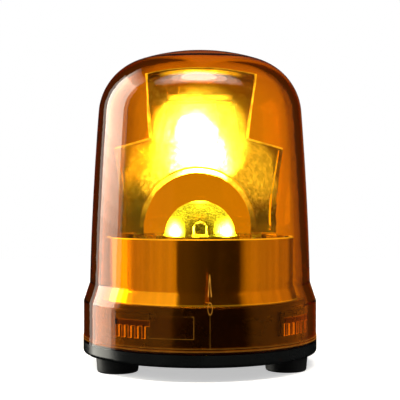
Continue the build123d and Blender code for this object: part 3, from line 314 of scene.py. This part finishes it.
def amber_material():
    """Clear amber plastic with painted highlight lines. Its colour comes from how much of it the
    light crosses.
    """
    mat, t = new_material("amber_globe_clear")
    shader = t.principled(base_color=(1, 1, 1, 1), transmission_weight=1.0, ior=1.52,
                          emission_color=(1.0, 0.42, 0.05, 1.0))
    t.link(t.spread(t.noise(45.0, 5.0), 0.0, 0.035), shader.inputs["Roughness"])
    t.link(t.bump(t.noise(28.0, 2.0), 0.00004), shader.inputs["Normal"])
    axes = t.axes()
    x, y, z = (axes[name] for name in "XYZ")
    radius = t.hypot(x, y)
    # Painted highlights: emission lines along the edges of the panel, the index mark, the bayonet
    # combs and the lip
    on_front = t.product(t.below(y, 0.0), t.above(radius, OUTER_FACE))
    mark_highlights = t.product(on_front, t.total(panel_edge_highlights(t, x, z), index_mark_highlights(t, x, z)))
    lip = t.product(t.total(t.near(z, LIP_GROOVE, GROOVE_LINE), t.near(z, LIP_TOP, LIP_LINE)),
                    LIP_GLOW)
    painted_light = t.total(mark_highlights, comb_edge_highlights(t, x, y, z, radius), lip)
    t.link(t.product(painted_light, t.spread(t.noise(300.0, 2.0), 0.7, 1.3)),
           shader.inputs["Emission Strength"])
    volume = t.add("ShaderNodeVolumeAbsorption")
    volume.inputs["Color"].default_value = (0.955, 0.80, 0.06, 1.0)
    volume.inputs["Density"].default_value = 1150.0
    t.output(see_through(t, shader, (0.76, 0.37, 0.02)), volume.outputs[0])
    return mat


CLEAR = (0.98, 0.97, 0.94)
CLEAR_IOR = 1.49


def lit_clear(t, shader, strength, colour):
    """A clear surface with painted light on it, though not in mirrors, that lets lamp light pass.
    """
    path = t.add("ShaderNodeLightPath")
    not_mirrored = t.minus(1.0, t.math("MINIMUM", path.outputs["Glossy Depth"], 1.0))
    emission = t.add("ShaderNodeEmission")
    emission.inputs["Color"].default_value = rgba(colour)
    t.link(t.product(strength, not_mirrored), emission.inputs["Strength"])
    both = t.add("ShaderNodeAddShader")
    t.link(shader.outputs[0], both.inputs[0])
    t.link(emission.outputs[0], both.inputs[1])
    return see_through(t, both, CLEAR)


# Painted light on the dome: hot spots low at its four corners, 0.71 radius aside, a light top and
# a bright outline
HOT_ASIDE, HOT_REACH, HOT_HEIGHT = 0.71 * DOME_RADIUS, 0.3 * DOME_RADIUS, 0.009
CROWN_HALF, CROWN_START, CROWN_END = 0.0045, DOME_TOP - 0.0015, DOME_TOP + 0.001
OUTLINE_START, OUTLINE_END = 0.35 * DOME_RADIUS, DOME_RADIUS
DOME_RIM = 0.002
SPECKLE_LOW, SPECKLE_HIGH = 0.4, 0.6


def dome_material():
    """Clear speckled dome, with the lamp's light on it painted as emission."""
    mat, t = new_material("lens_dome_lit")
    shader = t.principled(transmission_weight=1.0, ior=CLEAR_IOR)
    speckle = t.noise(2200.0, 4.0)
    t.link(t.ramp(speckle, ((SPECKLE_LOW, (0.1, 0.1, 0.08, 1.0)),
                            (SPECKLE_HIGH, (0.84, 0.82, 0.74, 1.0)))),
           shader.inputs["Base Color"])
    t.link(t.spread(speckle, 0.0, 0.06), shader.inputs["Roughness"])
    t.link(t.bump(t.noise(900.0, 2.0), 0.00002), shader.inputs["Normal"])
    axes = t.axes()
    x, z = t.size(axes["X"]), axes["Z"]
    # Painted light from the lamp: hot spots low down, a light crown, speckles brighter towards the
    # outline
    low = t.spread(z, 1.0, 0.0, DOME_FOOT, DOME_FOOT + HOT_HEIGHT)
    hot = t.math("POWER", t.product(low, t.peak(x, HOT_ASIDE, HOT_REACH)), 3.0)
    crown = t.product(t.spread(x, 1.0, 0.0, 0.0, CROWN_HALF),
                      t.spread(z, 0.0, 1.0, CROWN_START, CROWN_END))
    outline = t.spread(t.hypot(x, t.minus(z, DOME_FOOT)), 0.1, 1.25, OUTLINE_START, OUTLINE_END)
    speckled = t.product(t.spread(speckle, 0.1, 1.9, SPECKLE_LOW, SPECKLE_HIGH), outline)
    painted_light = t.total(speckled, t.product(hot, 900.0), t.product(crown, 50.0))
    above_rim = t.spread(z, 0.0, 1.0, DOME_FOOT, DOME_FOOT + DOME_RIM)
    t.output(lit_clear(t, shader, t.product(painted_light, above_rim), (0.65, 1.0, 0.4)))
    return mat


def lens_material():
    """Small clear lens of the light source, with a painted highlight along its outline in the
    front view.
    """
    mat, t = new_material("emitter_lens_lit")
    shader = t.principled(base_color=rgba(CLEAR), transmission_weight=1.0, ior=CLEAR_IOR)
    t.link(t.spread(t.noise(900.0, 3.0), 0.0, 0.03), shader.inputs["Roughness"])
    sides = t.spread(t.size(t.axes()["Y"]), 10.0, 0.0, 0.25 * LENS_RADIUS, 0.45 * LENS_RADIUS)
    t.output(lit_clear(t, shader, sides, (0.9, 1.0, 0.5)))
    return mat


def mirror_material(name, roughness, ripple, stretch, coat, painted_light, tone_and_painted_shade):
    """Metal plating: its painted light, and its base colour, which carries painted shade, come
    from functions of the place.
    """
    mat, t = new_material(name)
    shader = t.principled(metallic=1.0, coat_weight=coat, coat_roughness=0.03, coat_ior=3.0,
                          emission_color=(1.0, 0.9, 0.6, 1.0))
    t.link(t.spread(t.noise(70.0, 4.0), *roughness), shader.inputs["Roughness"])
    t.link(t.bump(t.noise(40.0, 2.0, stretch), ripple), shader.inputs["Normal"])
    t.link(painted_light(t), shader.inputs["Emission Strength"])
    t.link(tone_and_painted_shade(t), shader.inputs["Base Color"])
    t.output(shader.outputs[0])
    return mat


# Painted highlights on the mirror's rims: widths, and the heights between which a width or a
# brightness changes
NARROW_RIM, SHOULDER_RIM = 0.45 * RIM_WIDTH, 0.6 * RIM_WIDTH
SIDE_NARROWS, SIDE_DIMS, ARCH_BRIGHTENS = (0.104, 0.118), (0.100, 0.122), (0.062, 0.078)
SIDE_GLOW, SIDE_TOP_SHARE, SHOULDER_GLOW = 2.6, 0.35, 1.3
ARCH_FOOT_GLOW, ARCH_TOP_GLOW = 0.15, 1.7
# Painted level bands of light in the neck: depth under the top rim or height over the sunk panel,
# reach, and the distances from the middle between which they fade
TOP_BAND, TOP_BAND_REACH, TOP_BAND_FADES, TOP_BAND_GLOW = 0.0018, 0.0011, (0.006, 0.018), 5.0
LOW_BAND, LOW_BAND_REACH, LOW_BAND_FADES, LOW_BAND_GLOW = 0.0021, 0.0014, (0.010, 0.0145), 4.5
# Painted highlights on the edges of the sunk panel
RECESS_SIDE_LINE, RECESS_SIDE_GLOW, RECESS_SIDE_BRIGHTENS = 0.0004, 2.2, (0.097, 0.106)
RECESS_TOP_LINE, RECESS_TOP_GLOW, RECESS_CORNER = 0.0002, 1.5, 0.002


def rim_highlights(t, x, z, from_top):
    """Painted highlights on the rims along the neck's sides and top, the shoulders and the arch.
    """
    above_neck = t.minus(z, NECK_BOTTOM)
    from_side = t.minus(t.total(t.product(above_neck, NECK_SLOPE), NECK_HALF_WIDTH), x)
    fall = t.product(t.minus(x, NECK_HALF_WIDTH), SHOULDER_SLOPE)
    from_shoulder = t.product(t.total(above_neck, fall), -1.0)
    from_arch = t.minus(t.hypot(x, t.minus(z, FOCUS_HEIGHT)), ARCH_RADIUS)
    side = t.product(t.below(from_side, t.spread(z, RIM_WIDTH, NARROW_RIM, *SIDE_NARROWS)),
                     t.above(above_neck, 0.0), t.spread(z, 1.0, SIDE_TOP_SHARE, *SIDE_DIMS),
                     SIDE_GLOW)
    shoulder = t.product(t.below(from_shoulder, SHOULDER_RIM), t.above(x, NECK_HALF_WIDTH),
                         SHOULDER_GLOW)
    arch = t.product(t.below(from_arch, ARCH_RIM_WIDTH), t.above(z, FOCUS_HEIGHT),
                     t.spread(z, ARCH_FOOT_GLOW, ARCH_TOP_GLOW, *ARCH_BRIGHTENS))
    return t.total(side, shoulder, t.below(from_top, NARROW_RIM), arch)


def painted_neck_bands(t, x, z, from_top):
    """A painted band of light under the neck's top rim, and one over the sunk panel."""
    top_band = t.product(t.spread(x, TOP_BAND_GLOW, 0.0, *TOP_BAND_FADES),
                         t.peak(from_top, TOP_BAND, TOP_BAND_REACH))
    low_band = t.product(t.spread(x, LOW_BAND_GLOW, 0.0, *LOW_BAND_FADES),
                         t.peak(z, RECESS_TOP + LOW_BAND, LOW_BAND_REACH))
    return t.total(top_band, low_band)


def recess_edge_highlights(t, x, z):
    """Painted highlights on the sides and top edge of the sunk panel."""
    side_place = t.total(t.product(t.minus(RECESS_TOP, z), RECESS_SLOPE), RECESS_TOP_HALF)
    sides = t.product(t.near(x, side_place, RECESS_SIDE_LINE),
                      t.spread(z, 0.0, RECESS_SIDE_GLOW, *RECESS_SIDE_BRIGHTENS),
                      t.below(z, RECESS_TOP - RECESS_CORNER))
    top = t.product(t.near(z, RECESS_TOP, RECESS_TOP_LINE), t.below(x, RECESS_TOP_HALF),
                    RECESS_TOP_GLOW)
    return t.total(sides, top)


def mirror_painted_light(t):
    """Painted highlights: how brightly the mirror's rims and edges catch the lamp."""
    axes = t.axes()
    x, z = t.size(axes["X"]), axes["Z"]
    from_top = t.minus(TOP_ARC_RADIUS, t.hypot(x, t.minus(z, TOP_ARC_HEIGHT)))
    lines = t.total(rim_highlights(t, x, z, from_top), painted_neck_bands(t, x, z, from_top),
                    recess_edge_highlights(t, x, z))
    return t.product(lines, t.spread(t.noise(260.0, 3.0), 0.6, 1.3))


def toned(t, level, colour):
    """A colour scaled by a level from 0 to 1."""
    return t.ramp(level, ((0.0, grey(0.0)), (1.0, rgba(colour))))


def mirror_painted_shade(t):
    """Painted shade: plating darker towards the foot of the wings, most of all on the left."""
    axes = t.axes()
    low = t.spread(axes["Z"], 1.0, 0.0, 0.070, 0.080)
    left = t.spread(axes["X"], 1.0, 0.15, -0.024, -0.016)
    return toned(t, t.minus(1.0, t.product(low, left, 0.75)), (0.93, 0.92, 0.90))


# The drum's flared foot turns into its wall just over this height
DRUM_FLARE = DECK_TOP + 0.0051
FLARE_EDGE = 0.0004
# Painted highlights on the drum's rim and foot, and painted light on the foot's left
DRUM_RIM_LINE, DRUM_FOOT_LINE = 0.0005, 0.0004
DRUM_RIM_GLOW, DRUM_FOOT_GLOW, LIT_FOOT_GLOW = 0.8, 0.25, 0.35
LIT_FOOT_ENDS = (-0.0115, -0.0095)


def drum_painted_light(t):
    """Painted highlights: thin bright lines along the drum's rim and foot, and painted light on
    the left of its foot.
    """
    axes = t.axes()
    on_front = t.below(axes["Y"], 0.0)
    rim = t.product(t.near(axes["Z"], DRUM_TOP, DRUM_RIM_LINE), on_front, DRUM_RIM_GLOW)
    foot_line = t.product(t.near(axes["Z"], DECK_TOP, DRUM_FOOT_LINE), DRUM_FOOT_GLOW)
    lit_foot = t.product(t.between(axes["Z"], DECK_TOP, DRUM_FLARE), on_front,
                         t.spread(axes["X"], LIT_FOOT_GLOW, 0.0, *LIT_FOOT_ENDS))
    return t.total(rim, foot_line, lit_foot)


def drum_streaks_and_painted_shade(t):
    """Metallising with faint upright streaks, and painted shade that makes the wall darker than
    the flared foot.
    """
    wall = t.spread(t.axes()["Z"], 1.0, 0.82, DRUM_FLARE - FLARE_EDGE, DRUM_FLARE + FLARE_EDGE)
    streaks = t.spread(t.noise(60.0, 3.0, (4, 4, 0.05)), 0.75, 1.0)
    return toned(t, t.product(wall, streaks), (1.0, 0.96, 0.9))


def phosphor_material():
    """Lit yellow face of the light source."""
    mat, t = new_material("emitter_phosphor")
    yellow = (1.0, 0.85, 0.4, 1.0)
    shader = t.principled(base_color=yellow, emission_color=yellow, emission_strength=1.5)
    t.link(t.spread(t.noise(1500.0, 2.0), 0.35, 0.5), shader.inputs["Roughness"])
    t.output(shader.outputs[0])
    return mat


BLACK = (0.005, 0.006, 0.006)
materials = {
    "amber": amber_material(),
    "black_plastic": solid_material("black_plastic_satin", BLACK, 0.24, grain=2500.0, coat=0.1),
    "chassis_plastic": solid_material("chassis_black_plastic", BLACK, 0.3, grain=2200.0, coat=0.2),
    "rubber": solid_material("black_rubber_soft", (0.014, 0.015, 0.015), 0.55, grain=1600.0,
                             depth=0.00005),
    "mirror": mirror_material("mirror_plating", roughness=(0.06, 0.09), ripple=0.00001,
                              stretch=(1, 1, 1), coat=0.8, painted_light=mirror_painted_light, tone_and_painted_shade=mirror_painted_shade),
    "drum": mirror_material("drum_metallising", roughness=(0.05, 0.14), ripple=0.00006,
                            stretch=(3, 3, 0.06), coat=0.0, painted_light=drum_painted_light, tone_and_painted_shade=drum_streaks_and_painted_shade),
    "dome": dome_material(),
    "lens": lens_material(),
    "aluminium": solid_material("turned_aluminium", (0.77, 0.78, 0.79), 0.28, 1.0, grain=2200.0,
                                stretch=(1, 1, 6)),
    "zinc": solid_material("zinc_plated_steel", (0.62, 0.63, 0.65), 0.32, 1.0, grain=1800.0),
    "spring": solid_material("phosphated_spring_steel", (0.16, 0.16, 0.17), 0.45, 1.0),
    "can": solid_material("nickel_plated_can", (0.66, 0.66, 0.65), 0.25, 1.0, stretch=(1, 1, 0.2)),
    "bronze": solid_material("sintered_bronze", (0.55, 0.36, 0.14), 0.42, 1.0, grain=3000.0,
                             depth=0.00004),
    "acetal": solid_material("natural_acetal", (0.78, 0.77, 0.71), 0.4, coat=0.1),
    "turntable": solid_material("black_acetal", (0.03, 0.03, 0.031), 0.38),
    "board": solid_material("green_board", (0.02, 0.13, 0.05), 0.3, grain=700.0, coat=0.5),
    "white_board": solid_material("white_board", (0.82, 0.81, 0.78), 0.35, coat=0.3),
    "phosphor": phosphor_material(),
    "lead": solid_material("red_lead_insulation", (0.5, 0.03, 0.02), 0.4),
    "ferrite": solid_material("dark_component_body", (0.035, 0.035, 0.037), 0.5, grain=2600.0),
    "sleeve": solid_material("capacitor_sleeve", (0.02, 0.025, 0.09), 0.3, coat=0.4),
    "block": solid_material("green_terminal_block", (0.03, 0.2, 0.08), 0.4),
}
finishes = {
    "amber_globe": "amber", "base_housing": "black_plastic", "base_screws": "zinc",
    "board_screws": "zinc", "cable_grommet": "rubber", "centre_pillar": "aluminium",
    "chassis": "chassis_plastic", "choke_coil": "ferrite", "circuit_board": "board",
    "drum_screws": "zinc", "drum_shroud": "drum", "emitter_lens": "lens", "globe_seal": "rubber",
    "heat_sink": "aluminium", "idler_axle": "zinc", "idler_clip": "spring",
    "idler_gear": "acetal", "led_board": "white_board", "led_emitter": "phosphor",
    "led_leads": "lead", "lens_dome": "dome", "lower_bush": "bronze", "motor_can": "can",
    "motor_end_cap": "ferrite", "motor_pinion": "bronze", "motor_screws": "zinc",
    "motor_shaft": "zinc", "motor_terminals": "bronze", "pillar_screws": "zinc",
    "reflector": "mirror", "reflector_screws": "zinc", "retaining_ring": "spring",
    "rubber_foot_1": "rubber", "rubber_foot_2": "rubber", "rubber_foot_3": "rubber",
    "smoothing_capacitor": "sleeve", "terminal_block": "block", "threaded_inserts": "bronze",
    "thrust_washer": "acetal", "turntable": "turntable", "upper_bush": "bronze",
    "voltage_regulator": "ferrite",
}
for node_name, finish in finishes.items():
    piece = nodes[node_name]
    piece.data.materials.clear()
    piece.data.materials.append(materials[finish])

# Floor
FLOOR_RADIUS, FADE_START = 0.8, 0.15
FADE_END = 0.95 * FLOOR_RADIUS


def floor_material():
    """Pale to the camera, darker in what it lights, and fading into the background."""
    mat, t = new_material("pale_floor")
    pale = t.principled(base_color=grey(0.9), roughness=0.8, emission_color=grey(1.0),
                        emission_strength=0.5)
    dim = t.principled(base_color=grey(0.15), roughness=0.8)
    gone = t.add("ShaderNodeBsdfTransparent")
    ray = t.add("ShaderNodeLightPath")
    surface = t.mix(ray.outputs["Is Camera Ray"], dim.outputs[0], pale.outputs[0])
    reach = t.add("ShaderNodeVectorMath", operation="LENGTH")
    t.link(t.coords(), reach.inputs[0])
    fade = t.spread(reach.outputs["Value"], 0.0, 1.0, FADE_START, FADE_END)
    # The outer surfaces mirror the room and its softboxes down to their feet, not the floor
    clear_way = t.math("MAXIMUM", fade, ray.outputs["Is Glossy Ray"])
    t.output(t.mix(clear_way, surface, gone.outputs[0]))
    return mat


floor_mesh = bpy.data.meshes.new("floor")
work = bmesh.new()
bmesh.ops.create_circle(work, cap_ends=True, radius=FLOOR_RADIUS, segments=64)
work.to_mesh(floor_mesh)
work.free()
floor = bpy.data.objects.new("floor", floor_mesh)
scene.collection.objects.link(floor)
floor.data.materials.append(floor_material())

# Studio lights, aimed at the middle of the globe
GLOBE_MIDDLE = Vector((0, 0, 0.07))
CREAM, PALE_CREAM, WARM = (1.0, 0.98, 0.85), (1.0, 0.97, 0.88), (1.0, 0.93, 0.8)


def area_light(name, azimuth, elevation, distance, size, power, colour, shape="RECTANGLE"):
    """Softbox, with its azimuth counted from -Y towards -X and its power in watts."""
    a, e = math.radians(azimuth), math.radians(elevation)
    offset = Vector((-math.sin(a) * math.cos(e), -math.cos(a) * math.cos(e), math.sin(e)))
    light = bpy.data.lights.new(name, "AREA")
    light.shape = shape
    light.size, light.size_y = size
    light.energy = power
    light.color = colour
    lamp = bpy.data.objects.new(name, light)
    lamp.location = GLOBE_MIDDLE + offset * distance
    lamp.rotation_euler = (-offset).to_track_quat("-Z", "Y").to_euler()
    scene.collection.objects.link(lamp)


# The left softbox is brighter towards its top, so that its reflection fades downwards: more
# boxes in front of it, each a little higher than the last
area_light("left_softbox", 113, 8, 1.2, (0.75, 1.5), 8.5, CREAM)
for number in range(5):
    area_light("left_softbox_%d" % number, 113, 21.5 + 2.0 * number, 1.19 - 0.01 * number,
               (0.75, 0.9), 1.5, CREAM)
area_light("left_softbox_edge", 114, 8, 1.25, (1.15, 1.5), 5.5, PALE_CREAM)
# The top softbox is brightest in its middle: each ellipse has its width, height and power
for number, (width, height, power) in enumerate((
        (1.9, 0.58, 5.0), (1.5, 0.50, 4.0), (1.0, 0.42, 5.0), (0.6, 0.34, 4.0))):
    area_light("top_softbox_%d" % number, 5, 67, 1.2 - 0.02 * number, (width, height), power,
               WARM, "ELLIPSE")

# The lamp's own light: a column of narrow beams for the mirror's hot core and wider ones
# around it, each with its height and radius. The flat neck mirrors what is high above the
# focus. One more beam on each side lights the wings.
LAMP_X = 0.0016
CORE_BRIGHTNESS, HALO_BRIGHTNESS = 17000.0, 110.0
CORE_BEAMS = ((0.0586, 0.0014), (0.0598, 0.0017), (0.0613, 0.0019), (0.0638, 0.0021),
              (0.0664, 0.0023))
HALO_BEAMS = ((0.0600, 0.0024), (0.0650, 0.0026), (0.0720, 0.0028))


def beam(name, place, radius, brightness, tilt=62.0, cone=64.0, blend=0.4, turn=0.0):
    """Spot light aimed at the mirror, tilted up from the horizon and turned from +Y to +X."""
    up, side = math.radians(tilt), math.radians(turn)
    way = Vector((math.sin(side) * math.cos(up), math.cos(side) * math.cos(up), math.sin(up)))
    light = bpy.data.lights.new(name, "SPOT")
    light.energy = brightness * radius**2
    light.shadow_soft_size = radius
    light.color = (0.92, 1.0, 0.75)
    light.spot_size = math.radians(cone)
    light.spot_blend = blend
    lamp = bpy.data.objects.new(name, light)
    lamp.location = place
    lamp.rotation_euler = way.to_track_quat("-Z", "Y").to_euler()
    scene.collection.objects.link(lamp)


for number, (height, radius) in enumerate(CORE_BEAMS):
    beam("core_beam_%d" % number, (LAMP_X, 0, height), radius, CORE_BRIGHTNESS)
for number, (height, radius) in enumerate(HALO_BEAMS):
    beam("halo_beam_%d" % number, (LAMP_X, 0, height), radius, HALO_BRIGHTNESS)
beam("left_beam", (-0.0005, 0, 0.0587), 0.0030, 230.0, tilt=36.0, cone=46.0, blend=1.0, turn=-40.0)
beam("right_beam", (0.0028, -0.0034, 0.0580), 0.0034, 85.0, tilt=38.0, cone=50.0, blend=1.0,
     turn=46.0)

# What the object mirrors: the room's brightness by azimuth from -Y towards -X, with a white
# backdrop behind the object, a card on each side and dark gaps between them
ROOM = ((-180, 1.0), (-163, 1.0), (-158, 0.13), (-134, 0.13), (-124, 0.95), (-55, 0.9),
        (-44, 0.05), (-8, 0.07), (29, 0.16), (31, 1.1), (94, 1.1), (97, 0.13), (172, 0.13),
        (176.5, 1.0), (180, 1.0))
OUTSIDE_DIMMING = 0.97


def fill_world(world):
    """White to the camera, and the room to every other ray."""
    world.use_nodes = True
    world.node_tree.nodes.clear()
    w = Tree(world.node_tree)
    split = w.add("ShaderNodeSeparateXYZ")
    w.link(w.add("ShaderNodeTexCoord").outputs["Generated"], split.inputs[0])
    # The azimuth as a share, from 0 at -180 degrees to 1 at 180
    angle = w.math("ARCTAN2", w.product(split.outputs["X"], -1.0),
                   w.product(split.outputs["Y"], -1.0))
    share = w.total(w.math("DIVIDE", angle, 2 * math.pi), 0.5)
    room = w.add("ShaderNodeBackground")
    w.link(w.ramp(share, [(0.5 + azimuth / 360, grey(level)) for azimuth, level in ROOM]),
           room.inputs["Color"])
    # Outer surfaces mirror a darker room than the one that lights the inside
    path = w.add("ShaderNodeLightPath")
    inside = w.math("MINIMUM", path.outputs["Transmission Depth"], 1.0)
    outside = w.product(w.minus(1.0, inside), path.outputs["Is Glossy Ray"])
    w.link(w.minus(1.0, w.product(outside, OUTSIDE_DIMMING)), room.inputs["Strength"])
    white = w.add("ShaderNodeBackground")
    white.inputs["Color"].default_value = grey(1.0)
    out = w.add("ShaderNodeOutputWorld")
    w.link(w.mix(path.outputs["Is Camera Ray"], room.outputs[0], white.outputs[0]),
           out.inputs["Surface"])


scene.world = bpy.data.worlds.new("studio")
fill_world(scene.world)

# Camera at the photo's viewing angle
CAMERA_DISTANCE, CAMERA_HEIGHT = 0.4366, 0.07135
CAMERA_TURN, CAMERA_PITCH = math.radians(2.6), math.radians(0.16)
camera_data = bpy.data.cameras.new("camera")
camera_data.lens = 91.1
camera_data.sensor_width = 36.0
camera_data.clip_start = 0.01
camera = bpy.data.objects.new("camera", camera_data)
camera.location = (-CAMERA_DISTANCE * math.sin(CAMERA_TURN),
                   -CAMERA_DISTANCE * math.cos(CAMERA_TURN), CAMERA_HEIGHT)
camera.rotation_euler = (math.pi / 2 - CAMERA_PITCH, 0, -CAMERA_TURN)
scene.collection.objects.link(camera)
scene.camera = camera

# Plain colours, and bounces enough for light that crosses the clear pieces and is mirrored
scene.view_settings.view_transform = "Standard"
scene.view_settings.look = "None"
scene.cycles.max_bounces = 24
scene.cycles.transmission_bounces = 24
scene.cycles.glossy_bounces = 12
scene.cycles.transparent_max_bounces = 24
scene.cycles.sample_clamp_indirect = 60.0
